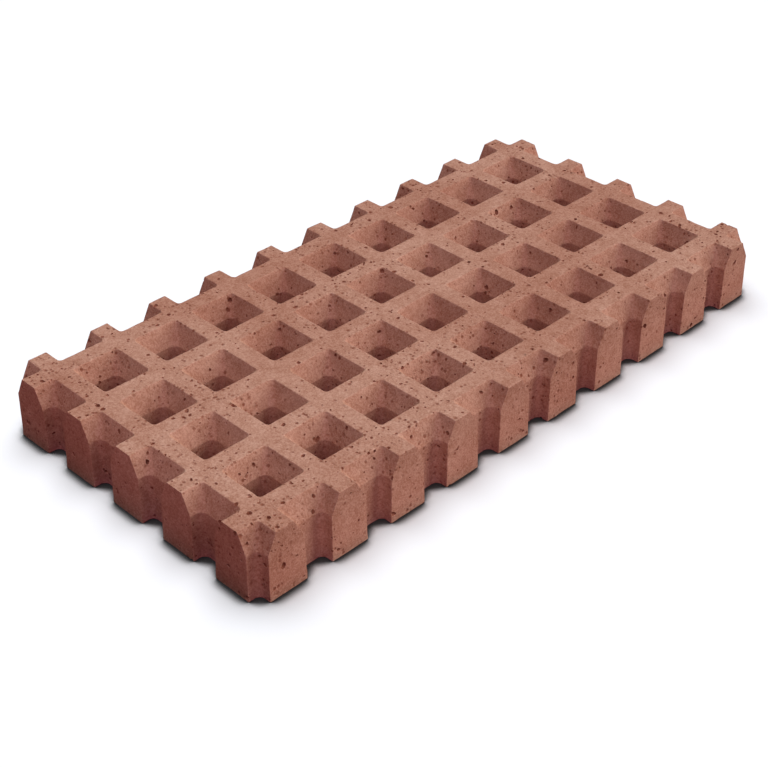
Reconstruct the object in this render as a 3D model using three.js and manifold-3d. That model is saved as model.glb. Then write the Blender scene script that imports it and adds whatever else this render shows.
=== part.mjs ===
// Clay grid brick: one pressed and fired paving brick, pierced by a square grid of planting holes.
//
// Frame: millimetres, +Z up, origin at the centre of the underside, +X along the length, +Y across.
//
// The brick is drawn on a square module. A hole stands on every node of that module: each has a
// square funnel at the top, which closes down to a rounded throat, and the throat runs through to
// the underside. The nodes on the rim fall on the joint between two laid bricks, so their holes are
// cut in half, or to a quarter at the corners, and what is left between them are the rim's teeth.
// Outer faces and throats have the draft that lets the brick leave its mould.

import * as THREE from 'three';
import Module from 'manifold-3d';

// ---- Driving dimensions -------------------------------------------------------------------

const PITCH = 60; // grid module, from one hole's centre to the next
const CELLS_LONG = 10; // modules along X
const CELLS_WIDE = 5; // modules along Y
const HEIGHT = 58; // underside to top face
const BASE_JOINT = 2.5; // gap between the undersides of two laid bricks
const DRAFT = 1.4; // degrees, lean of the outer faces and of the throat walls

const MOUTH_WIDTH = 43; // square opening in the top face
const MOUTH_RADIUS = 3; // its corners
const FUNNEL_DEPTH = 17; // top face down to the throat
const THROAT_WIDTH = 26; // throat where the funnel ends
const THROAT_RADIUS = 6; // its corners

const CORNER_STEPS = 6; // straight facets in each rounded corner
const CUT_OVERRUN = 2; // how far a cutter stands out of the faces that it cuts

// ---- Worked out from them -----------------------------------------------------------------

const draftSlope = Math.tan(THREE.MathUtils.degToRad(DRAFT));
const baseLength = CELLS_LONG * PITCH - BASE_JOINT;
const baseWidth = CELLS_WIDE * PITCH - BASE_JOINT;
const faceInset = HEIGHT * draftSlope; // how far each outer face leans in at the top
const throatTop = HEIGHT - FUNNEL_DEPTH;
const throatInset = throatTop * draftSlope; // how far each throat wall leans in at the underside

// ---- Outlines and solids ------------------------------------------------------------------

// A closed outline, counter-clockwise: a rectangle whose corners are arcs. Every outline made with
// the same number of steps has as many points, which is what lets one be lofted to the other.
function roundedOutline(length, width, radius, steps) {
  const points = [];
  for (let corner = 0; corner < 4; corner += 1) {
    const startAngle = (corner * Math.PI) / 2;
    const sideX = corner === 0 || corner === 3 ? 1 : -1;
    const sideY = corner < 2 ? 1 : -1;
    const centre = new THREE.Vector2(sideX * (length / 2 - radius), sideY * (width / 2 - radius));
    for (let step = 0; step <= steps; step += 1) {
      const angle = startAngle + (step / steps) * (Math.PI / 2);
      const arm = new THREE.Vector2(radius * Math.cos(angle), radius * Math.sin(angle));
      points.push(arm.add(centre));
    }
  }
  return points;
}

// A sharp-cornered outline of the same kind.
function plainOutline(length, width) {
  const x = length / 2;
  const y = width / 2;
  return [
    new THREE.Vector2(x, y),
    new THREE.Vector2(-x, y),
    new THREE.Vector2(-x, -y),
    new THREE.Vector2(x, -y),
  ];
}

// Lofts a closed solid through level sections, lowest first, and caps both ends.
function loft(sections) {
  const count = sections[0].outline.length;
  const positions = [];
  const triangles = [];
  for (const { outline, z } of sections) {
    for (const point of outline) {
      positions.push(point.x, point.y, z);
    }
  }
  for (let level = 0; level + 1 < sections.length; level += 1) {
    for (let side = 0; side < count; side += 1) {
      const low = level * count + side;
      const lowNext = level * count + ((side + 1) % count);
      triangles.push(low, lowNext, lowNext + count, low, lowNext + count, low + count);
    }
  }
  const top = (sections.length - 1) * count;
  for (let side = 1; side + 1 < count; side += 1) {
    triangles.push(0, side + 1, side);
    triangles.push(top, top + side, top + side + 1);
  }
  const geometry = new THREE.BufferGeometry();
  geometry.setAttribute('position', new THREE.Float32BufferAttribute(positions, 3));
  geometry.setIndex(triangles);
  return geometry;
}

// ---- Bridge to the solid modeller ---------------------------------------------------------

const wasm = await Module();
wasm.setup();

function toSolid(geometry) {
  const mesh = new wasm.Mesh({
    numProp: 3,
    vertProperties: new Float32Array(geometry.attributes.position.array),
    triVerts: new Uint32Array(geometry.index.array),
  });
  return new wasm.Manifold(mesh);
}

function toGeometry(solid) {
  const mesh = solid.getMesh();
  const geometry = new THREE.BufferGeometry();
  geometry.setAttribute('position', new THREE.BufferAttribute(mesh.vertProperties, 3));
  geometry.setIndex(new THREE.BufferAttribute(mesh.triVerts, 1));
  return geometry;
}

// ---- The brick ----------------------------------------------------------------------------

// The plain slab, wider at the underside than at the top by the draft of its four faces.
function slab() {
  const base = plainOutline(baseLength, baseWidth);
  const top = plainOutline(baseLength - 2 * faceInset, baseWidth - 2 * faceInset);
  return loft([
    { outline: base, z: 0 },
    { outline: top, z: HEIGHT },
  ]);
}

// The core that forms one hole: throat, then funnel, standing out of both faces.
function holeCore() {
  const footWidth = THROAT_WIDTH - 2 * throatInset;
  const footRadius = THROAT_RADIUS - throatInset;
  const foot = roundedOutline(footWidth, footWidth, footRadius, CORNER_STEPS);
  const throat = roundedOutline(THROAT_WIDTH, THROAT_WIDTH, THROAT_RADIUS, CORNER_STEPS);
  const mouth = roundedOutline(MOUTH_WIDTH, MOUTH_WIDTH, MOUTH_RADIUS, CORNER_STEPS);
  return loft([
    { outline: foot, z: -CUT_OVERRUN },
    { outline: foot, z: 0 },
    { outline: throat, z: throatTop },
    { outline: mouth, z: HEIGHT },
    { outline: mouth, z: HEIGHT + CUT_OVERRUN },
  ]);
}

// Slab less one core on every node of the grid, the rim's nodes included.
function pierceSlab() {
  const core = holeCore();
  let brick = toSolid(slab());
  for (let column = 0; column <= CELLS_LONG; column += 1) {
    for (let row = 0; row <= CELLS_WIDE; row += 1) {
      const x = (column - CELLS_LONG / 2) * PITCH;
      const y = (row - CELLS_WIDE / 2) * PITCH;
      brick = brick.subtract(toSolid(core.clone().translate(x, y, 0)));
    }
  }
  const geometry = toGeometry(brick);
  geometry.computeVertexNormals();
  return geometry;
}

const firedClay = new THREE.MeshStandardMaterial({
  name: 'fired_clay',
  color: new THREE.Color().setRGB(0.67, 0.46, 0.39, THREE.SRGBColorSpace),
  roughness: 0.92,
  metalness: 0,
  flatShading: true,
});

const gridBrick = new THREE.Mesh(pierceSlab(), firedClay);
gridBrick.name = 'grid_brick';

const group = new THREE.Group();
group.add(gridBrick);

export default group;
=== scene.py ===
"""Looks of the clay grid brick, built around its packed CAD model.

One pressed and fired brick, pierced by a square grid of planting holes. The form is made again here
by a rule, with rounded and rubbed edges, the waves of a pressed surface and pits, and it stands for
the CAD node. Everything is in metres, +Z up, with the origin at the centre of the underside.
"""

import math

import bpy
from bpy.props import FloatProperty, FloatVectorProperty, IntProperty, PointerProperty
from mathutils import Euler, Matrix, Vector


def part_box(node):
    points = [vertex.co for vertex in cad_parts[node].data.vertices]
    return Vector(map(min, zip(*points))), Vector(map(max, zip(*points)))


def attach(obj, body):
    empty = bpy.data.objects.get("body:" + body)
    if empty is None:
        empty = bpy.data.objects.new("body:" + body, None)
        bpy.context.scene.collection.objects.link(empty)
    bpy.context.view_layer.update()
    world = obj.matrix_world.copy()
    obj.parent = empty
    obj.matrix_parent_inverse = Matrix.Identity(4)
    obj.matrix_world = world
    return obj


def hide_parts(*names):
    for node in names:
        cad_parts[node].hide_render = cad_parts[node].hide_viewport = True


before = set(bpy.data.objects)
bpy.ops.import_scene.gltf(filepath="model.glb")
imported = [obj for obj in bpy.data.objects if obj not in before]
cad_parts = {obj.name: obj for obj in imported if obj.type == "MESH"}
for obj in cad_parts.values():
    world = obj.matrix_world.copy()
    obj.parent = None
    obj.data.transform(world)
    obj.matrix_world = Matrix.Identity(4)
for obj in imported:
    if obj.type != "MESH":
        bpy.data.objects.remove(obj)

bl_info = {
    "name": "Clay Grid Brick",
    "version": (1, 0, 0),
    "blender": (4, 5, 0),
    "location": "3D View > Sidebar > Grid Brick",
    "description": "Builds a pierced clay paving brick with its fired surface, and a studio for it",
    "category": "Add Mesh",
}

# ---- The brick's measures --------------------------------------------------------------------

CAD_NODE = "grid_brick"
BODY = "root"
BRICK_NAME = "fired_grid_brick"

MM = 0.001
CELLS_LONG = 10
CELLS_WIDE = 5
LAYING_JOINT = 2.5 * MM

cad_low, cad_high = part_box(CAD_NODE)
BRICK_LENGTH = cad_high[0] - cad_low[0]
BRICK_WIDTH = cad_high[1] - cad_low[1]
BRICK_HEIGHT = cad_high[2] - cad_low[2]
GRID_PITCH = (BRICK_LENGTH + LAYING_JOINT) / CELLS_LONG

# Attributes that the mesh hands to the finish.
EDGE_MARK = "on_edge"
PIT_MARK = "in_pit"

MIDDLE = 0.5  # of a noise or a mask, which run from 0 to 1

# Node sockets that share a name are reached by number. These are the ones that a Random Value node
# has for plain numbers, and a Mix node for colours.
RANDOM_LOW, RANDOM_HIGH, RANDOM_RESULT = 2, 3, 1
MIX_SHARE, MIX_UNDER, MIX_OVER, MIX_RESULT = 0, 6, 7, 2


# ---- Wires: sums and products written as such, in geometry and shader trees alike ------------


class Wire:
    """One number carried by a node's output socket."""

    def __init__(self, tree, socket):
        self.tree = tree
        self.socket = socket

    def step(self, operation, *others):
        """The output of one Math node that works on this wire and the others."""
        made = self.tree.nodes.new("ShaderNodeMath")
        made.operation = operation
        for socket, number in zip(made.inputs, (self,) + others):
            feed(self.tree, socket, number)
        return Wire(self.tree, made.outputs[0])

    def __add__(self, other):
        return self.step("ADD", other)

    def __sub__(self, other):
        return self.step("SUBTRACT", other)

    def __mul__(self, other):
        return self.step("MULTIPLY", other)

    def __truediv__(self, other):
        return self.step("DIVIDE", other)

    def __mod__(self, other):
        return self.step("FLOORED_MODULO", other)

    def __pow__(self, other):
        return self.step("POWER", other)

    def __neg__(self):
        return self.step("MULTIPLY", -1.0)

    def __abs__(self):
        return self.step("ABSOLUTE")

    def floor(self):
        return self.step("FLOOR")

    def least(self, other):
        return self.step("MINIMUM", other)

    def most(self, other):
        return self.step("MAXIMUM", other)

    def below(self, other):
        return self.step("LESS_THAN", other)

    def above(self, other):
        return self.step("GREATER_THAN", other)


def feed(tree, socket, value):
    """Links a wire or a socket to an input, or sets the input's own value."""
    if isinstance(value, Wire):
        tree.links.new(value.socket, socket)
    elif isinstance(value, bpy.types.NodeSocket):
        tree.links.new(value, socket)
    else:
        socket.default_value = value


def place(tree, kind, inputs=None, **settings):
    """Adds a node with its settings, which decide its sockets, and its inputs by name or number."""
    made = tree.nodes.new(kind)
    for name, value in settings.items():
        setattr(made, name, value)
    for key, value in (inputs or {}).items():
        feed(tree, made.inputs[key], value)
    return made


def split(tree, vector):
    """The three wires of a vector socket."""
    parts = place(tree, "ShaderNodeSeparateXYZ", {0: vector})
    return [Wire(tree, output) for output in parts.outputs]


def join(tree, x, y, z):
    """A vector socket from three numbers."""
    return place(tree, "ShaderNodeCombineXYZ", {0: x, 1: y, 2: z}).outputs[0]


def scaled(tree, vector, size):
    """A vector times a number."""
    made = place(tree, "ShaderNodeVectorMath", {0: vector, "Scale": size}, operation="SCALE")
    return made.outputs[0]


def paired(tree, operation, first, second):
    """The vector that an operation makes of two others."""
    made = place(tree, "ShaderNodeVectorMath", {0: first, 1: second}, operation=operation)
    return made.outputs[0]


def ramp(value, start, end):
    """A smooth rise from 0 at start to 1 at end, or a fall where start is the larger."""
    span = place(
        value.tree,
        "ShaderNodeMapRange",
        {"Value": value, "From Min": start, "From Max": end},
        interpolation_type="SMOOTHSTEP",
    )
    return Wire(value.tree, span.outputs["Result"])


def noise(tree, vector, grain, detail=2.0, roughness=0.5):
    """Noise from 0 to 1 whose features are about one grain wide."""
    texture = place(
        tree,
        "ShaderNodeTexNoise",
        {"Vector": vector, "Scale": grain**-1.0, "Detail": detail, "Roughness": roughness},
    )
    return Wire(tree, texture.outputs["Fac"])


# ---- Masks that the mesh and its finish share ------------------------------------------------

# Values of the noise where a crowd of pits begins, and where it is full.
CROWD_RANGE = (0.38, 0.64)

# Heights of a normal that begins to look up, and of one that does.
UPWARD_RANGE = (0.6, 0.95)


def crowding(tree, vector, width):
    """Where pits and pores lie close together, from 0 to 1."""
    return ramp(noise(tree, vector, width, detail=1.0), *CROWD_RANGE)


def facing_up(tree, normal):
    """How far a surface looks up, from 0 on the walls of the holes to 1 on the top face."""
    return ramp(split(tree, normal)[2], *UPWARD_RANGE)


# ---- Geometry trees --------------------------------------------------------------------------

WELD_DISTANCE = 0.02 * MM


def new_tree(name, kind, inputs, outputs):
    """An empty node group with named sockets, its inputs by name, and its output node."""
    tree = bpy.data.node_groups.new(name, kind)
    for label, socket_kind in inputs:
        tree.interface.new_socket(label, in_out="INPUT", socket_type="NodeSocket" + socket_kind)
    for label, socket_kind in outputs:
        tree.interface.new_socket(label, in_out="OUTPUT", socket_type="NodeSocket" + socket_kind)
    source = tree.nodes.new("NodeGroupInput")
    given = {}
    for label, socket_kind in inputs:
        output = source.outputs[label]
        given[label] = Wire(tree, output) if socket_kind in ("Float", "Int") else output
    return tree, given, tree.nodes.new("NodeGroupOutput")


def new_geometry_tree(name, inputs):
    """An empty geometry tree with named inputs besides the geometry."""
    all_inputs = (("Geometry", "Geometry"),) + inputs
    tree, given, end = new_tree(
        name, "GeometryNodeTree", all_inputs, (("Geometry", "Geometry"),)
    )
    tree.is_modifier = True
    return tree, given, end


def finish_geometry_tree(tree, end, geometry, clay):
    """Ends a tree in Realize Instances and Set Material."""
    realized = place(tree, "GeometryNodeRealizeInstances", {"Geometry": geometry})
    clad = place(
        tree, "GeometryNodeSetMaterial", {"Geometry": realized.outputs[0], "Material": clay}
    )
    tree.links.new(clad.outputs[0], end.inputs["Geometry"])


def run_tree(piece, tree, values):
    """Adds a tree to a piece as a modifier, with its inputs set by their identifiers."""
    modifier = piece.modifiers.new(tree.name, "NODES")
    modifier.node_group = tree
    for item in tree.interface.items_tree:
        if item.in_out == "INPUT" and item.name in values:
            modifier[item.identifier] = values[item.name]


def point_position(tree):
    """Where each point of a mesh lies."""
    return tree.nodes.new("GeometryNodeInputPosition").outputs[0]


def moved(tree, geometry, inputs):
    """A mesh whose points are set to a Position, or shifted by an Offset."""
    made = place(tree, "GeometryNodeSetPosition", {"Geometry": geometry, **inputs})
    return made.outputs[0]


def weld(tree, geometry):
    """Joins points that lie together."""
    inputs = {"Geometry": geometry, "Distance": WELD_DISTANCE}
    return place(tree, "GeometryNodeMergeByDistance", inputs).outputs[0]


def edges_over(tree, angle):
    """Picks the edges whose faces meet at more than an angle."""
    between = tree.nodes.new("GeometryNodeInputMeshEdgeAngle").outputs["Unsigned Angle"]
    return Wire(tree, between).above(angle)


def cut(tree, body, cutters):
    """A solid less one or more others."""
    return place(
        tree,
        "GeometryNodeMeshBoolean",
        {"Mesh 1": body, "Mesh 2": cutters},
        operation="DIFFERENCE",
        solver="MANIFOLD",
    ).outputs["Mesh"]


def store(tree, geometry, name, value, data_type="FLOAT", domain="POINT"):
    """Keeps a number on each point of a mesh, or on each instance of a set."""
    return place(
        tree,
        "GeometryNodeStoreNamedAttribute",
        {"Geometry": geometry, "Name": name, "Value": value},
        data_type=data_type,
        domain=domain,
    ).outputs[0]


def stored(tree, name, data_type="FLOAT"):
    """The wire of a number that was kept under a name."""
    made = place(
        tree, "GeometryNodeInputNamedAttribute", {"Name": name}, data_type=data_type
    )
    return Wire(tree, made.outputs[0])


# ---- The pierced slab ------------------------------------------------------------------------

# How finely the form is divided.
SLAB_STEPS_PER_CELL = 8
SLAB_STEPS_UP = 5
CORNER_STEPS = 6
THROAT_STEPS = 5
FUNNEL_STEPS = 3

CUT_OVERRUN = 3 * MM  # how far a hole's core stands out of the underside and of the top face
LEAST_RADIUS = 10 * WELD_DISTANCE  # keeps the points of a corner apart
SHARP_EDGE = math.radians(20)  # faces that meet at more than this have an edge to round and rub
QUARTER_TURN = math.pi / 2

FORM_SIZES = (
    ("Length", "Float"),
    ("Width", "Float"),
    ("Height", "Float"),
    ("Pitch", "Float"),
    ("Draft Slope", "Float"),
    ("Mouth Width", "Float"),
    ("Mouth Radius", "Float"),
    ("Funnel Depth", "Float"),
    ("Throat Width", "Float"),
    ("Throat Radius", "Float"),
)


def hole_half_width(z, given):
    """Half the width of a hole at a height: the drafted throat, then the funnel above it."""
    throat_top = given["Height"] - given["Funnel Depth"]
    flare = (given["Mouth Width"] - given["Throat Width"]) * 0.5 / given["Funnel Depth"]
    in_throat = (z - throat_top).least(0.0) * given["Draft Slope"]
    in_funnel = (z - throat_top).most(0.0) * flare
    return given["Throat Width"] * 0.5 + in_throat + in_funnel


def hole_corner_radius(z, given):
    """Radius of a hole's corners at a height."""
    throat_top = given["Height"] - given["Funnel Depth"]
    sharpening = (given["Mouth Radius"] - given["Throat Radius"]) / given["Funnel Depth"]
    in_throat = (z - throat_top).least(0.0) * given["Draft Slope"]
    in_funnel = (z - throat_top).most(0.0) * sharpening
    return (given["Throat Radius"] + in_throat + in_funnel).most(LEAST_RADIUS)


def tapered_slab(tree, given):
    """The plain slab, divided in step with the grid, its outer faces leaning in by the draft."""
    size = join(
        tree, given["Pitch"] * CELLS_LONG, given["Pitch"] * CELLS_WIDE, given["Height"]
    )
    box = place(
        tree,
        "GeometryNodeMeshCube",
        {
            "Size": size,
            "Vertices X": CELLS_LONG * SLAB_STEPS_PER_CELL + 1,
            "Vertices Y": CELLS_WIDE * SLAB_STEPS_PER_CELL + 1,
            "Vertices Z": SLAB_STEPS_UP + 1,
        },
    )
    x, y, z = split(tree, point_position(tree))
    up = z + given["Height"] * 0.5
    lean = up * given["Draft Slope"]
    reach_x = given["Length"] * 0.5 - lean
    reach_y = given["Width"] * 0.5 - lean
    held_x = x.least(reach_x).most(-reach_x)
    held_y = y.least(reach_y).most(-reach_y)
    return moved(tree, box.outputs["Mesh"], {"Position": join(tree, held_x, held_y, up)})


def hole_core(tree, given):
    """The closed core of one hole: a lattice of outline points by levels, drawn in at both ends."""
    points_per_quarter = CORNER_STEPS + 1
    around = 4 * points_per_quarter
    top_level = THROAT_STEPS + FUNNEL_STEPS
    first_row = 1
    last_row = first_row + top_level
    rows = last_row + 2
    lattice = place(tree, "GeometryNodeMeshGrid", {"Vertices X": around + 1, "Vertices Y": rows})
    index = Wire(tree, tree.nodes.new("GeometryNodeInputIndex").outputs[0])
    column = (index / rows).floor()
    row = index % rows

    # Height of the level, with one level exactly where the funnel meets the throat. The row before
    # the first and the row past the last are drawn in to a point, which closes the core.
    level = (row - first_row).most(0.0).least(top_level) - THROAT_STEPS
    throat_top = given["Height"] - given["Funnel Depth"]
    down = level.least(0.0) / THROAT_STEPS * (throat_top + CUT_OVERRUN)
    up = level.most(0.0) / FUNNEL_STEPS * (given["Funnel Depth"] + CUT_OVERRUN)
    z = throat_top + down + up
    is_open = row.above(first_row - 0.5) * row.below(last_row + 0.5)
    radius = hole_corner_radius(z, given) * is_open
    reach = hole_half_width(z, given) * is_open - radius

    # One quarter of the outline is an arc, and the straight side that leads on to the next.
    quarter = (column / points_per_quarter).floor()
    turn = (column % points_per_quarter) / CORNER_STEPS * QUARTER_TURN
    local_x = turn.step("COSINE") * radius + reach
    local_y = turn.step("SINE") * radius + reach
    heading = quarter * QUARTER_TURN
    cosine = heading.step("COSINE")
    sine = heading.step("SINE")
    outline = join(
        tree, local_x * cosine - local_y * sine, local_x * sine + local_y * cosine, z
    )
    return weld(tree, moved(tree, lattice.outputs["Mesh"], {"Position": outline}))


def pierced_slab_tree():
    """Slab less one core on every node of the grid, the rim's nodes included."""
    tree, given, end = new_geometry_tree("Pierced Slab", FORM_SIZES + (("Clay", "Material"),))
    grid = place(
        tree,
        "GeometryNodeMeshGrid",
        {
            "Size X": given["Pitch"] * CELLS_LONG,
            "Size Y": given["Pitch"] * CELLS_WIDE,
            "Vertices X": CELLS_LONG + 1,
            "Vertices Y": CELLS_WIDE + 1,
        },
    )
    cores = place(
        tree,
        "GeometryNodeInstanceOnPoints",
        {"Points": grid.outputs["Mesh"], "Instance": hole_core(tree, given)},
    )
    pierced = weld(tree, cut(tree, tapered_slab(tree, given), cores.outputs[0]))
    marked = store(tree, pierced, EDGE_MARK, edges_over(tree, SHARP_EDGE))
    finish_geometry_tree(tree, end, marked, given["Clay"])
    return tree


# ---- Waves, rubbed edges and pits ------------------------------------------------------------

# Values of the noise where a wave or a rubbed spot begins, and where it has its full depth.
WAVE_RANGE = (0.3, 0.7)
RUBBED_RANGE = (0.4, 0.75)

# A pit is cut with a lump: a coarse ball of about unit radius that noise swells and dents. Each
# shape takes its noise from another place along the noise's fourth axis.
PIT_SHAPES = 8
SHAPE_MARK = "shape"
LUMP_SEGMENTS = 7
LUMP_RINGS = 4
LUMP_NOISE_SCALE = 0.9
LUMP_NOISE_START = 1.0
LUMP_NOISE_STEP = 7.0
LUMP_SWELL = 2.0

# Factors on the number of pits: outside the crowds, added inside them, and on a wall, to which a
# face that looks up adds one.
PITS_APART = 0.3
PITS_CROWDED = 1.5
PITS_ON_WALL = 0.7

# How steeply the number of pits falls as they grow, how far a pit's centre stands out of the face,
# in radii, and how far its three axes are shrunk or stretched.
PIT_FALL_OFF = 2.0
PIT_RISE = 0.3
PIT_STRETCH = (0.75, 1.35)

# The pits that show most: where each one's centre stands and its radius, in millimetres.
LARGE_PITS = (
    (145, -92, 59, 3.0),
    (271, -62, 59, 2.5),
    (266, 15, 59, 2.2),
    (170, 49, 55, 3.0),
    (92, -6, 59, 2.2),
    (35, -32, 59, 2.0),
    (18, -137, 52, 2.6),
    (42, -149, 29, 2.2),
    (-276, 52, 59, 2.6),
    (-246, 5, 59, 2.2),
    (-295, 56, 59, 2.0),
    (-269, 105, 59, 2.0),
    (-254, -127, 59, 2.3),
    (-278, -119, 59, 2.8),
    (-234, -137, 44, 2.4),
    (-298, -126, 56, 2.4),
    (-288, -96, 42, 2.6),
    (-274, -149, 26, 3.0),
    (-222, -150, 8, 2.5),
    (-300, -136, 4, 2.6),
)


def pit_shapes(tree):
    """A set of lumps, each of another shape, as instances to pick from."""
    ball = place(
        tree,
        "GeometryNodeMeshUVSphere",
        {"Radius": 1.0, "Segments": LUMP_SEGMENTS, "Rings": LUMP_RINGS},
    )
    one = place(tree, "GeometryNodeGeometryToInstance", {"Geometry": ball.outputs["Mesh"]})
    copies = place(
        tree,
        "GeometryNodeDuplicateElements",
        {"Geometry": one.outputs[0], "Amount": PIT_SHAPES},
        domain="INSTANCE",
    )
    numbered = store(
        tree,
        copies.outputs["Geometry"],
        SHAPE_MARK,
        copies.outputs["Duplicate Index"],
        data_type="INT",
        domain="INSTANCE",
    )
    realized = place(tree, "GeometryNodeRealizeInstances", {"Geometry": numbered})
    shape = stored(tree, SHAPE_MARK, data_type="INT")
    at = point_position(tree)
    wander = place(
        tree,
        "ShaderNodeTexNoise",
        {
            "Vector": at,
            "W": shape * LUMP_NOISE_STEP + LUMP_NOISE_START,
            "Scale": LUMP_NOISE_SCALE,
            "Detail": 1.0,
        },
        noise_dimensions="4D",
    )
    swell = Wire(tree, wander.outputs["Fac"]) * LUMP_SWELL
    lumpy = moved(tree, realized.outputs[0], {"Position": scaled(tree, at, swell)})
    return place(
        tree, "GeometryNodeSplitToInstances", {"Geometry": lumpy, "Group ID": shape}
    ).outputs["Instances"]


def chance(tree, low, high, seed):
    """A random number for each point."""
    dice = place(
        tree,
        "FunctionNodeRandomValue",
        {RANDOM_LOW: low, RANDOM_HIGH: high, "Seed": seed},
        data_type="FLOAT",
    )
    return Wire(tree, dice.outputs[RANDOM_RESULT])


def worn_surface_tree():
    """The waves of a pressed face, and pits cut into it, with their depth kept for the finish to
    paint shade into them.
    """
    tree, given, end = new_geometry_tree(
        "Worn Surface",
        (
            ("Wave Depth", "Float"),
            ("Wave Width", "Float"),
            ("Edge Wear", "Float"),
            ("Edge Grain", "Float"),
            ("Pits per Area", "Float"),
            ("Crowd Width", "Float"),
            ("Smallest Pit", "Float"),
            ("Largest Pit", "Float"),
            ("Seed", "Int"),
            ("Clay", "Material"),
        ),
    )
    at = point_position(tree)
    outward = tree.nodes.new("GeometryNodeInputNormal").outputs[0]
    wave = ramp(noise(tree, at, given["Wave Width"], detail=1.0), *WAVE_RANGE)
    rubbed = ramp(noise(tree, at, given["Edge Grain"]), *RUBBED_RANGE) * stored(tree, EDGE_MARK)
    inward = -(wave * given["Wave Depth"] + rubbed * given["Edge Wear"])
    waved = moved(tree, given["Geometry"], {"Offset": scaled(tree, outward, inward)})

    crowd = crowding(tree, at, given["Crowd Width"])
    density = (crowd * PITS_CROWDED + PITS_APART) * (facing_up(tree, outward) + PITS_ON_WALL)
    scatter = place(
        tree,
        "GeometryNodeDistributePointsOnFaces",
        {"Mesh": waved, "Density": given["Pits per Area"] * density, "Seed": given["Seed"]},
    )

    # Each draw has a seed of its own: one for the radius, three for the turn, three for the axes.
    share = chance(tree, 0.0, 1.0, given["Seed"] + 1)
    ratio = given["Largest Pit"] / given["Smallest Pit"]
    tail = share * (-(ratio**-PIT_FALL_OFF) + 1.0)
    radius = given["Smallest Pit"] * ((-tail + 1.0) ** (-1.0 / PIT_FALL_OFF))
    turns = [chance(tree, 0.0, math.tau, given["Seed"] + draw) for draw in (2, 3, 4)]
    own_size = Wire(tree, tree.nodes.new("GeometryNodeInputRadius").outputs[0])
    axes = [own_size * chance(tree, *PIT_STRETCH, given["Seed"] + draw) for draw in (5, 6, 7)]
    sized = place(
        tree, "GeometryNodeSetPointRadius", {"Points": scatter.outputs["Points"], "Radius": radius}
    )
    rise = scaled(tree, scatter.outputs["Normal"], radius * PIT_RISE)
    raised = moved(tree, sized.outputs[0], {"Offset": rise})
    mouths = place(tree, "GeometryNodeJoinGeometry", {"Geometry": raised})
    for x, y, z, size in LARGE_PITS:
        large = place(
            tree,
            "GeometryNodePoints",
            {"Count": 1, "Position": (x * MM, y * MM, z * MM), "Radius": size * MM},
        )
        tree.links.new(large.outputs[0], mouths.inputs[0])
    pits = place(
        tree,
        "GeometryNodeInstanceOnPoints",
        {
            "Points": mouths.outputs[0],
            "Instance": pit_shapes(tree),
            "Pick Instance": True,
            "Rotation": join(tree, *turns),
            "Scale": join(tree, *axes),
        },
    )
    pitted = weld(tree, cut(tree, waved, pits.outputs[0]))
    depth = place(
        tree,
        "GeometryNodeProximity",
        {"Geometry": waved, "Sample Position": point_position(tree)},
        target_element="FACES",
    ).outputs["Distance"]
    marked = store(tree, pitted, PIT_MARK, depth)
    finish_geometry_tree(tree, end, marked, given["Clay"])
    return tree


# ---- Fired clay ------------------------------------------------------------------------------

# Chance gives each pore a size and a depth of painted shade, as factors: the least, and the most
# added.
LEAST_PORE_SIZE = 0.5
ADDED_PORE_SIZE = 0.65
LEAST_PORE_SHADE = 0.35
ADDED_PORE_SHADE = 0.65
PORE_SLOPE = (1.0, 0.3)  # from a pore's rim to where it is at its full depth, in radii
PORE_BENDS = 3.0  # bends of a ragged pore's outline, for each spacing

# Fine specks, mixed with broader grains that each have a tone of their own.
SPECK_ROUGHNESS = 0.7
BROAD_GRAIN = 1.6  # width, in grain sizes
BROAD_GRAIN_BLEND = 0.35
SPECK_SHARE = 0.84
BROAD_GRAIN_SHARE = 0.16
GRAIN_RANGE = (0.28, 0.72)

# Large clouds change the clay's colour, and small ones its tone.
CLOUD_DETAIL = 3.0
CLOUD_RANGE = (0.35, 0.65)
CLOUD_ORIGIN = (0.31, -2.57, -2.55)  # where in their endless pattern the large ones are taken
SMALL_CLOUD = 0.13  # width, as a share of a large one's
SMALL_CLOUD_CONTRAST = 0.1

# Powers that take green and blue further down than red where the clay is darker.
GREEN_POWER = 1.55
BLUE_POWER = 1.85

# Pinholes and pores: their sizes, and the share of their places that is taken outside the crowds,
# with what a crowd and the top face add to it.
PINHOLES = {"Spacing": 2.4 * MM, "Radius": 1.0 * MM, "Raggedness": 0.3}
PINHOLES_APART = 0.045
PINHOLES_CROWDED = 0.28
PINHOLES_ON_TOP = 0.04
PORES = {"Spacing": 3.7 * MM, "Radius": 1.95 * MM, "Raggedness": 0.3}
PORES_APART = 0.09
PORES_CROWDED = 0.3

# How strongly each layer tints what lies under it. The pits, pinholes and pores get painted shade
# in their hollows, and the top face gets dust and painted light.
PIT_SHADE_TINT = 0.85
PINHOLE_SHADE_TINT = 0.65
HOLLOW_SHADE_TINT = 0.92
RUBBED_TINT = 0.15
DUST_AND_TOP_LIGHT_TINT = 0.035
DUST_AND_TOP_LIGHT_ON_BLOTCHES = 0.05

# Depths over which a pit darkens to its full painted shade.
PIT_DEPTHS = (0.05 * MM, 0.5 * MM)  # over which a pit takes on its colour
EDGE_FOCUS = 3.0  # power that draws the rubbed clay in to the edge itself

GRAIN_HEIGHT = 0.12 * MM
PINHOLE_DEPTH = 0.25 * MM
PORE_DEPTH = 0.5 * MM
ROUGHNESS = 0.97
ROUGHNESS_LOST = 0.12  # by the palest grains
GLOSS = 0.25


def opaque(colour):
    """A setting's colour with the fourth number that colour sockets take."""
    return colour[:] + (1.0,)


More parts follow.
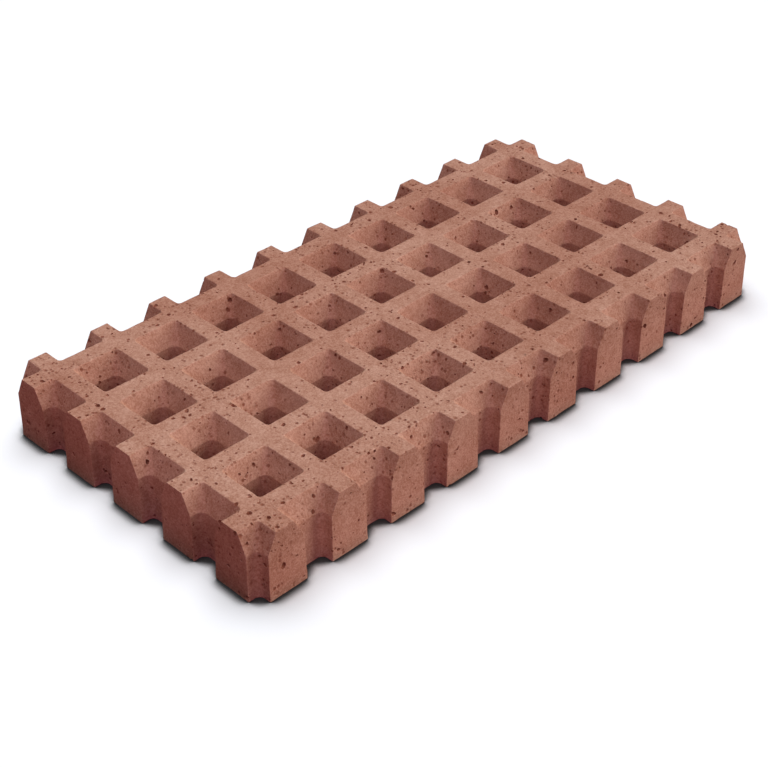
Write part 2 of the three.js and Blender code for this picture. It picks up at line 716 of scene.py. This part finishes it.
def pores_group():
    """Small round pores, scattered through the body of the clay and opened by its surface, darkened
    with painted shade.
    """
    tree, given, end = new_tree(
        "Clay Pores",
        "ShaderNodeTree",
        (
            ("Vector", "Vector"),
            ("Spacing", "Float"),
            ("Share", "Float"),
            ("Radius", "Float"),
            ("Raggedness", "Float"),
        ),
        (("Pore", "Float"),),
    )
    size = given["Spacing"] ** -1.0
    wander = place(
        tree,
        "ShaderNodeTexNoise",
        {"Vector": given["Vector"], "Scale": size * PORE_BENDS, "Detail": 1.0},
    )
    shift = paired(tree, "SUBTRACT", wander.outputs["Color"], (MIDDLE, MIDDLE, MIDDLE))
    bend = scaled(tree, shift, given["Raggedness"] * given["Spacing"])
    bent = paired(tree, "ADD", bend, given["Vector"])
    cells = place(
        tree, "ShaderNodeTexVoronoi", {"Vector": bent, "Scale": size}, feature="F1"
    )
    present, bigness, darkness = split(tree, cells.outputs["Color"])
    reach = given["Radius"] / given["Spacing"] * (bigness * ADDED_PORE_SIZE + LEAST_PORE_SIZE)
    depth = ramp(Wire(tree, cells.outputs["Distance"]) / reach, *PORE_SLOPE)
    # The tint is painted shade, which darkens the pore's hollow.
    tint = darkness * ADDED_PORE_SHADE + LEAST_PORE_SHADE
    feed(tree, end.inputs["Pore"], depth * present.below(given["Share"]) * tint)
    return tree


def grain_group():
    """The sandy grain of the clay: fine specks mixed with broader grains of many tones."""
    tree, given, end = new_tree(
        "Clay Grain",
        "ShaderNodeTree",
        (("Vector", "Vector"), ("Size", "Float")),
        (("Grain", "Float"),),
    )
    specks = noise(tree, given["Vector"], given["Size"], roughness=SPECK_ROUGHNESS)
    cells = place(
        tree,
        "ShaderNodeTexVoronoi",
        {
            "Vector": given["Vector"],
            "Scale": (given["Size"] * BROAD_GRAIN) ** -1.0,
            "Smoothness": BROAD_GRAIN_BLEND,
        },
        feature="SMOOTH_F1",
    )
    own_tone = split(tree, cells.outputs["Color"])[0]
    mixed = specks * SPECK_SHARE + own_tone * BROAD_GRAIN_SHARE
    feed(tree, end.inputs["Grain"], ramp(mixed, *GRAIN_RANGE))
    return tree


def blotches_group():
    """Clouds of paler and darker clay, as the kiln leaves them."""
    tree, given, end = new_tree(
        "Kiln Blotches",
        "ShaderNodeTree",
        (("Vector", "Vector"), ("Width", "Float")),
        (("Blotch", "Float"),),
    )
    clouds = noise(tree, given["Vector"], given["Width"], detail=CLOUD_DETAIL)
    feed(tree, end.inputs["Blotch"], ramp(clouds, *CLOUD_RANGE))
    return tree


def effect(tree, group, inputs):
    """Places a shader group in a material, and gives the wire of its one output."""
    made = place(tree, "ShaderNodeGroup", node_tree=group)
    for name, value in inputs.items():
        feed(tree, made.inputs[name], value)
    return Wire(tree, made.outputs[0])


def attribute(tree, name):
    """The wire of a number that the mesh holds at each point."""
    return Wire(tree, place(tree, "ShaderNodeAttribute", attribute_name=name).outputs["Fac"])


def tinted(tree, colour, tint, share):
    """One colour laid over another by a share from 0 to 1."""
    inputs = {MIX_SHARE: share, MIX_UNDER: colour, MIX_OVER: tint}
    return place(tree, "ShaderNodeMix", inputs, data_type="RGBA").outputs[MIX_RESULT]


def fired_deeper(tree, colour, tone):
    """A colour made lighter or darker by a number, and redder where it is darker."""
    shares = join(tree, tone, tone**GREEN_POWER, tone**BLUE_POWER)
    return paired(tree, "MULTIPLY", colour, shares)


def fired_clay(clay, crowd_width):
    """The brick's one material: sandy red clay with pores, clouds, rubbed edges, dust, painted
    shade in pits and pores, and painted light paling the top face.
    """
    material = bpy.data.materials.new("fired_clay_body")
    material.use_nodes = True
    tree = material.node_tree
    tree.nodes.clear()
    on_brick = tree.nodes.new("ShaderNodeTexCoord").outputs
    at = on_brick["Object"]
    upward = facing_up(tree, on_brick["Normal"])
    crowd = crowding(tree, at, crowd_width)

    grain = effect(tree, grain_group(), {"Vector": at, "Size": clay.grain_size})
    blotches = blotches_group()
    in_clouds = paired(tree, "ADD", at, CLOUD_ORIGIN)
    blotch = effect(tree, blotches, {"Vector": in_clouds, "Width": clay.blotch_width})
    cloud = effect(tree, blotches, {"Vector": at, "Width": clay.blotch_width * SMALL_CLOUD})

    pores = pores_group()
    pinhole_share = crowd * PINHOLES_CROWDED + upward * PINHOLES_ON_TOP + PINHOLES_APART
    pinhole = effect(tree, pores, {"Vector": at, "Share": pinhole_share, **PINHOLES})
    pore_share = crowd * PORES_CROWDED + PORES_APART
    pore = effect(tree, pores, {"Vector": at, "Share": pore_share, **PORES})
    pit = ramp(attribute(tree, PIT_MARK), *PIT_DEPTHS)
    # Pits, pinholes and pores are darkened with painted shade in their hollows.
    hollow_shade = (pit * PIT_SHADE_TINT).most(pore).most(pinhole * PINHOLE_SHADE_TINT)
    rubbed = attribute(tree, EDGE_MARK) ** EDGE_FOCUS * grain
    # Dust, and painted light: faces that look up are made paler, the top face most.
    dust_and_top_light = upward * (blotch * DUST_AND_TOP_LIGHT_ON_BLOTCHES + DUST_AND_TOP_LIGHT_TINT)

    graininess = (grain - MIDDLE) * clay.grain_contrast
    tone = graininess + (cloud - MIDDLE) * SMALL_CLOUD_CONTRAST + 1.0
    body = tinted(tree, opaque(clay.body_colour), opaque(clay.blotch_colour), blotch)
    paled = tinted(tree, body, opaque(clay.rubbed_colour), rubbed * RUBBED_TINT)
    dusted_and_lit = tinted(tree, paled, opaque(clay.dust_and_top_light_colour), dust_and_top_light)
    toned = fired_deeper(tree, dusted_and_lit, tone)
    surface = tinted(tree, toned, opaque(clay.pit_shade_colour), hollow_shade * HOLLOW_SHADE_TINT)

    height = grain * GRAIN_HEIGHT - pinhole * PINHOLE_DEPTH - pore * PORE_DEPTH
    bump = place(tree, "ShaderNodeBump", {"Height": height, "Distance": 1.0, "Strength": 1.0})
    shader = place(
        tree,
        "ShaderNodeBsdfPrincipled",
        {
            "Base Color": surface,
            "Roughness": grain * -ROUGHNESS_LOST + ROUGHNESS,
            "Specular IOR Level": GLOSS,
            "Normal": bump.outputs["Normal"],
        },
    )
    place(tree, "ShaderNodeOutputMaterial", {"Surface": shader.outputs["BSDF"]})
    return material


# ---- Building the brick ----------------------------------------------------------------------

ROUNDING_SEGMENTS = 2
SHARP_SHADING = math.radians(35)


def baked(piece):
    """Turns what a piece's modifiers make into its own plain mesh, and takes them off."""
    view = bpy.context.evaluated_depsgraph_get()
    mesh = bpy.data.meshes.new_from_object(piece.evaluated_get(view), depsgraph=view)
    piece.modifiers.clear()
    old = piece.data
    piece.data = mesh
    mesh.name = piece.name
    bpy.data.meshes.remove(old)


def build_brick(form, wear, clay):
    """Makes the pierced slab, rounds its edges, wears its faces and smooths its shading."""
    piece = bpy.data.objects.new(BRICK_NAME, bpy.data.meshes.new(BRICK_NAME))
    bpy.context.scene.collection.objects.link(piece)
    material = fired_clay(clay, wear.crowd_width)
    run_tree(
        piece,
        pierced_slab_tree(),
        {
            "Length": form.length,
            "Width": form.width,
            "Height": form.height,
            "Pitch": form.pitch,
            "Draft Slope": math.tan(form.draft),
            "Mouth Width": form.mouth_width,
            "Mouth Radius": form.mouth_radius,
            "Funnel Depth": form.funnel_depth,
            "Throat Width": form.throat_width,
            "Throat Radius": form.throat_radius,
            "Clay": material,
        },
    )
    rounding = piece.modifiers.new("Rounded Edges", "BEVEL")
    rounding.width = wear.edge_rounding
    rounding.segments = ROUNDING_SEGMENTS
    rounding.limit_method = "ANGLE"
    rounding.angle_limit = SHARP_EDGE
    rounding.use_clamp_overlap = False
    run_tree(
        piece,
        worn_surface_tree(),
        {
            "Wave Depth": wear.wave_depth,
            "Wave Width": wear.wave_width,
            "Edge Wear": wear.edge_wear,
            "Edge Grain": wear.edge_grain,
            "Pits per Area": wear.pits_per_area,
            "Crowd Width": wear.crowd_width,
            "Smallest Pit": wear.smallest_pit,
            "Largest Pit": wear.largest_pit,
            "Seed": wear.seed,
            "Clay": material,
        },
    )
    baked(piece)
    if not piece.data.polygons:
        raise RuntimeError("the brick came out without a surface")
    piece.data.shade_smooth()
    piece.data.set_sharp_from_angle(angle=SHARP_SHADING)
    shading = piece.modifiers.new("Even Shading", "WEIGHTED_NORMAL")
    shading.keep_sharp = True
    baked(piece)
    return piece


# ---- Studio ----------------------------------------------------------------------------------

# The camera: the point it looks at, from which side and how far off, and its lens and sensor in
# millimetres.
CAMERA_AIM = (-0.0733, -0.0462, 0.029)
CAMERA_AZIMUTH = math.radians(-135.017)
CAMERA_ELEVATION = math.radians(35.164)
CAMERA_DISTANCE = 1.23195
CAMERA_LENS = 71.54
SENSOR_WIDTH = 36.0
NEAREST_SEEN = 0.05

FLOOR_GAP = 0.1 * MM
FLOOR_HALF = 4.0

# The painted contact shadow round the brick's foot, a dark line in the floor's colour: how far it
# reaches, how open the floor is where the line is darkest and where it ends, and the share of the
# floor's colour that it leaves.
CONTACT_SHADOW_REACH = 12 * MM
CONTACT_SHADOW_RANGE = (0.56, 0.97)
CONTACT_SHADOW_TONE = 0.06

# The floor's glow grows from the brick's faces outwards, over these reaches. Past the long sides it
# then changes to the glow of the floor further off, and past the ends it is a little weaker.
SIDE_GLOW_REACH = 25 * MM
END_GLOW_REACH = 60 * MM
END_GLOW_SHARE = 0.87
FAR_GLOW_RANGE = (40 * MM, 120 * MM)

# Soft lights: name, azimuth, elevation and spread in degrees, strength, colour, and what each one
# falls on. The floor's own light is wide and stands high, so that the brick's shadow is short.
STUDIO_LIGHTS = (
    ("front_light", -38, 14, 34, 1.48, (0.99, 0.99, 0.98), "brick"),
    ("key_light", -30, 45, 20, 1.19, (0.96, 1.03, 0.99), "brick"),
    ("side_light", -95, 35, 34, 0.58, (1.05, 0.83, 0.97), "brick"),
    ("fill_light", -150, 58, 34, 0.78, (1.02, 0.75, 0.98), "brick"),
    ("back_light", 60, 58, 34, 0.55, (0.95, 1.09, 0.99), "brick"),
    ("top_light", 135, 77, 34, 0.63, (1.0, 1.0, 1.0), "brick"),
    ("floor_light", 66, 77, 66, 3.75, (0.967, 0.985, 1.03), "floor"),
)


def floor_glow(tree, studio):
    """The colour that the floor throws back: one in the holes, and others past sides and ends."""
    across, along = split(tree, tree.nodes.new("ShaderNodeTexCoord").outputs["Object"])[:2]
    past_end = abs(across) - BRICK_LENGTH / 2
    past_side = abs(along) - BRICK_WIDTH / 2
    by_side = past_side.above(0.0)
    by_end = -by_side + 1.0
    side_share = ramp(past_side, 0.0, SIDE_GLOW_REACH) * by_side
    end_share = ramp(past_end, 0.0, END_GLOW_REACH) * END_GLOW_SHARE * by_end
    far_share = ramp(past_side, *FAR_GLOW_RANGE)
    open_floor = tinted(tree, opaque(studio.floor_glow), opaque(studio.far_glow), far_share)
    shaded_floor = scaled(tree, open_floor, side_share + end_share)
    in_holes = past_end.most(past_side).below(0.0)
    return tinted(tree, shaded_floor, opaque(studio.hole_glow), in_holes)


def pale_floor(studio):
    """Matt to the camera, with a painted contact shadow in its colour, and to all else a glow in
    place of the light that it would throw back.
    """
    material = bpy.data.materials.new("pale_floor")
    material.use_nodes = True
    tree = material.node_tree
    tree.nodes.clear()
    openness = place(tree, "ShaderNodeAmbientOcclusion", {"Distance": CONTACT_SHADOW_REACH})
    # Painted contact shadow: the floor's colour is darkened where the brick closes it in.
    clear = ramp(Wire(tree, openness.outputs["AO"]), *CONTACT_SHADOW_RANGE)
    colour = scaled(tree, studio.floor_colour, clear * (1.0 - CONTACT_SHADOW_TONE) + CONTACT_SHADOW_TONE)
    matt = place(tree, "ShaderNodeBsdfDiffuse", {"Color": colour})
    glow = place(tree, "ShaderNodeEmission", {"Color": floor_glow(tree, studio)})
    seen = tree.nodes.new("ShaderNodeLightPath").outputs["Is Camera Ray"]
    both = place(
        tree, "ShaderNodeMixShader", {0: seen, 1: glow.outputs[0], 2: matt.outputs[0]}
    )
    place(tree, "ShaderNodeOutputMaterial", {"Surface": both.outputs[0]})
    return material


def studio_floor(studio):
    """A plain pale floor, with a painted shadow line where the brick stands on it."""
    mesh = bpy.data.meshes.new("studio_floor")
    sides = ((-1, -1), (1, -1), (1, 1), (-1, 1))
    corners = [(x * FLOOR_HALF, y * FLOOR_HALF, -FLOOR_GAP) for x, y in sides]
    mesh.from_pydata(corners, [], [(0, 1, 2, 3)])
    mesh.materials.append(pale_floor(studio))
    floor = bpy.data.objects.new("studio_floor", mesh)
    bpy.context.scene.collection.objects.link(floor)
    return floor


def studio_light(name, azimuth, elevation, spread, strength, colour, lit):
    """A distant soft light from a direction given in degrees, which falls on one object alone."""
    light = bpy.data.lights.new(name, "SUN")
    light.energy = strength
    light.angle = math.radians(spread)
    light.color = colour
    lamp = bpy.data.objects.new(name, light)
    lamp.rotation_euler = Euler((0.0, math.radians(90 - elevation), math.radians(azimuth)))
    bpy.context.scene.collection.objects.link(lamp)
    reach = bpy.data.collections.new(name + "_reach")
    reach.objects.link(lit)
    lamp.light_linking.receiver_collection = reach


def studio_backdrop(colour):
    """A plain backdrop past the floor, which gives no light of its own."""
    world = bpy.data.worlds.new("studio_backdrop")
    world.use_nodes = True
    tree = world.node_tree
    background = tree.nodes["Background"]
    background.inputs["Color"].default_value = opaque(colour)
    seen = tree.nodes.new("ShaderNodeLightPath").outputs["Is Camera Ray"]
    tree.links.new(seen, background.inputs["Strength"])
    bpy.context.scene.world = world


def studio_camera():
    """The camera, high over the corner where the lit long side meets the shaded end."""
    lens = bpy.data.cameras.new("studio_camera")
    lens.sensor_fit = "HORIZONTAL"
    lens.sensor_width = SENSOR_WIDTH
    lens.lens = CAMERA_LENS
    lens.clip_start = NEAREST_SEEN
    camera = bpy.data.objects.new("studio_camera", lens)
    back = Vector(
        (
            math.cos(CAMERA_AZIMUTH) * math.cos(CAMERA_ELEVATION),
            math.sin(CAMERA_AZIMUTH) * math.cos(CAMERA_ELEVATION),
            math.sin(CAMERA_ELEVATION),
        )
    )
    camera.location = Vector(CAMERA_AIM) + back * CAMERA_DISTANCE
    camera.rotation_euler = (-back).to_track_quat("-Z", "Y").to_euler()
    bpy.context.scene.collection.objects.link(camera)
    bpy.context.scene.camera = camera


# ---- Settings, operators and panel -----------------------------------------------------------


def length_setting(name, description, default, **more):
    """A length in metres that a user may change."""
    return FloatProperty(
        name=name, description=description, default=default, unit="LENGTH", precision=4, **more
    )


def colour_setting(name, description, default):
    """A colour that a user may change."""
    return FloatVectorProperty(
        name=name, description=description, default=default, subtype="COLOR", min=0.0, max=1.0
    )


class GridBrickForm(bpy.types.PropertyGroup):
    """Sizes of the brick and its holes."""

    length: length_setting("Length", "Length of the underside", BRICK_LENGTH)
    width: length_setting("Width", "Width of the underside", BRICK_WIDTH)
    height: length_setting("Height", "Underside to top face", BRICK_HEIGHT)
    pitch: length_setting("Pitch", "From one hole's centre to the next", GRID_PITCH)
    draft: FloatProperty(
        name="Draft",
        description="Lean of the outer faces and of the throat walls",
        default=math.radians(1.4),
        unit="ROTATION",
    )
    mouth_width: length_setting("Mouth Width", "Square opening in the top face", 43 * MM)
    mouth_radius: length_setting("Mouth Radius", "Corners of the opening", 3 * MM)
    funnel_depth: length_setting("Funnel Depth", "Top face down to the throat", 17 * MM)
    throat_width: length_setting("Throat Width", "Throat where the funnel ends", 26 * MM)
    throat_radius: length_setting("Throat Radius", "Corners of the throat", 6 * MM)


class GridBrickWear(bpy.types.PropertyGroup):
    """How the pressed and fired surface departs from the plain form."""

    edge_rounding: length_setting("Edge Rounding", "Set-back of the rounded edges", 0.6 * MM)
    wave_depth: length_setting("Wave Depth", "Depth of the waves of the pressed faces", 0.15 * MM)
    wave_width: length_setting("Wave Width", "Width of those waves", 30 * MM)
    edge_wear: length_setting("Edge Wear", "Depth to which edges are rubbed away", 0.35 * MM)
    edge_grain: length_setting("Edge Grain", "Length of the rubbed spots", 8 * MM)
    pits_per_area: FloatProperty(
        name="Pits per Area", description="Pits on a square metre of surface", default=3400.0
    )
    crowd_width: length_setting("Crowd Width", "Width of the patches where pits crowd", 38 * MM)
    smallest_pit: length_setting("Smallest Pit", "Radius of the smallest pits", 0.85 * MM)
    largest_pit: length_setting("Largest Pit", "Radius of the largest pits", 2.5 * MM)
    seed: IntProperty(name="Seed", description="Changes where the pits lie", default=3)


class GridBrickClay(bpy.types.PropertyGroup):
    """Colours and grain of the fired clay."""

    body_colour: colour_setting("Body", "Colour of most of the clay", (0.39, 0.181, 0.117))
    blotch_colour: colour_setting("Blotches", "Paler clouds in the clay", (0.452, 0.23, 0.153))
    rubbed_colour: colour_setting("Rubbed Edges", "Edges that handling has paled", (0.5, 0.27, 0.2))
    # Dust on the top face, and painted light that makes the top face paler.
    dust_and_top_light_colour: colour_setting("Dust", "Dust that lies on the top face", (0.55, 0.42, 0.36))
    # Painted shade inside pits and pores.
    pit_shade_colour: colour_setting("Pits", "Inside of pits and pores", (0.185, 0.044, 0.019))
    grain_size: length_setting("Grain Size", "Width of the grains", 1.4 * MM)
    grain_contrast: FloatProperty(
        name="Grain Contrast", description="How much the grains differ", default=0.33
    )
    blotch_width: length_setting("Blotch Width", "Width of the clouds", 110 * MM)


class GridBrickStudio(bpy.types.PropertyGroup):
    """Light and floor round the brick."""

    light_strength: FloatProperty(
        name="Light Strength",
        description="Factor on the power of every light",
        default=1.0,
        min=0.0,
    )
    floor_colour: colour_setting("Floor", "Colour of the floor", (0.9, 0.9, 0.9))
    backdrop_colour: colour_setting("Backdrop", "Colour past the floor's edge", (1.0, 1.0, 1.0))
    floor_glow: colour_setting("Floor Glow", "Light from the floor nearby", (0.58, 0.185, 0.2))
    far_glow: colour_setting("Far Glow", "Light from the floor further off", (0.06, 0.12, 0.1))
    hole_glow: colour_setting("Hole Glow", "Light from the floor in the holes", (0.13, 0.0, 0.08))


class GRID_BRICK_OT_build_brick(bpy.types.Operator):
    """Build the pierced brick with its fired surface, in place of its plain model"""

    bl_idname = "grid_brick.build_brick"
    bl_label = "Build Grid Brick"

    def execute(self, context):
        scene = context.scene
        piece = build_brick(scene.grid_brick_form, scene.grid_brick_wear, scene.grid_brick_clay)
        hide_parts(CAD_NODE)
        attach(piece, BODY)
        return {"FINISHED"}


class GRID_BRICK_OT_set_stage(bpy.types.Operator):
    """Set up the pale floor, the soft lights and the camera"""

    bl_idname = "grid_brick.set_stage"
    bl_label = "Set Up Studio"

    def execute(self, context):
        scene = context.scene
        studio = scene.grid_brick_studio
        floor = studio_floor(studio)
        lit_things = {"brick": bpy.data.objects[BRICK_NAME], "floor": floor}
        for name, azimuth, elevation, spread, strength, colour, lit in STUDIO_LIGHTS:
            strength *= studio.light_strength
            studio_light(name, azimuth, elevation, spread, strength, colour, lit_things[lit])
        studio_backdrop(studio.backdrop_colour)
        studio_camera()
        scene.view_settings.view_transform = "Standard"
        scene.view_settings.look = "None"
        return {"FINISHED"}


class GRID_BRICK_PT_panel(bpy.types.Panel):
    """Sidebar panel with the brick's settings and its builders"""

    bl_idname = "GRID_BRICK_PT_panel"
    bl_label = "Grid Brick"
    bl_space_type = "VIEW_3D"
    bl_region_type = "UI"
    bl_category = "Grid Brick"

    def draw(self, context):
        layout = self.layout
        for group_name, group in SETTING_GROUPS:
            box = layout.box()
            box.label(text=group.__doc__.rstrip("."))
            settings = getattr(context.scene, group_name)
            for setting in group.__annotations__:
                box.prop(settings, setting)
        for operator in (GRID_BRICK_OT_build_brick, GRID_BRICK_OT_set_stage):
            layout.operator(operator.bl_idname)


SETTING_GROUPS = (
    ("grid_brick_form", GridBrickForm),
    ("grid_brick_wear", GridBrickWear),
    ("grid_brick_clay", GridBrickClay),
    ("grid_brick_studio", GridBrickStudio),
)
CLASSES = tuple(group for group_name, group in SETTING_GROUPS) + (
    GRID_BRICK_OT_build_brick,
    GRID_BRICK_OT_set_stage,
    GRID_BRICK_PT_panel,
)


def register():
    """Adds the classes, and the settings to the scene."""
    for made in CLASSES:
        bpy.utils.register_class(made)
    for group_name, group in SETTING_GROUPS:
        setattr(bpy.types.Scene, group_name, PointerProperty(type=group))


def unregister():
    """Takes the settings and the classes away again."""
    for group_name, group in SETTING_GROUPS:
        delattr(bpy.types.Scene, group_name)
    for made in reversed(CLASSES):
        bpy.utils.unregister_class(made)


def main():
    """Builds everything through the operators."""
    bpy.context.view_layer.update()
    register()
    bpy.ops.grid_brick.build_brick()
    bpy.ops.grid_brick.set_stage()


if __name__ == "__main__":
    main()
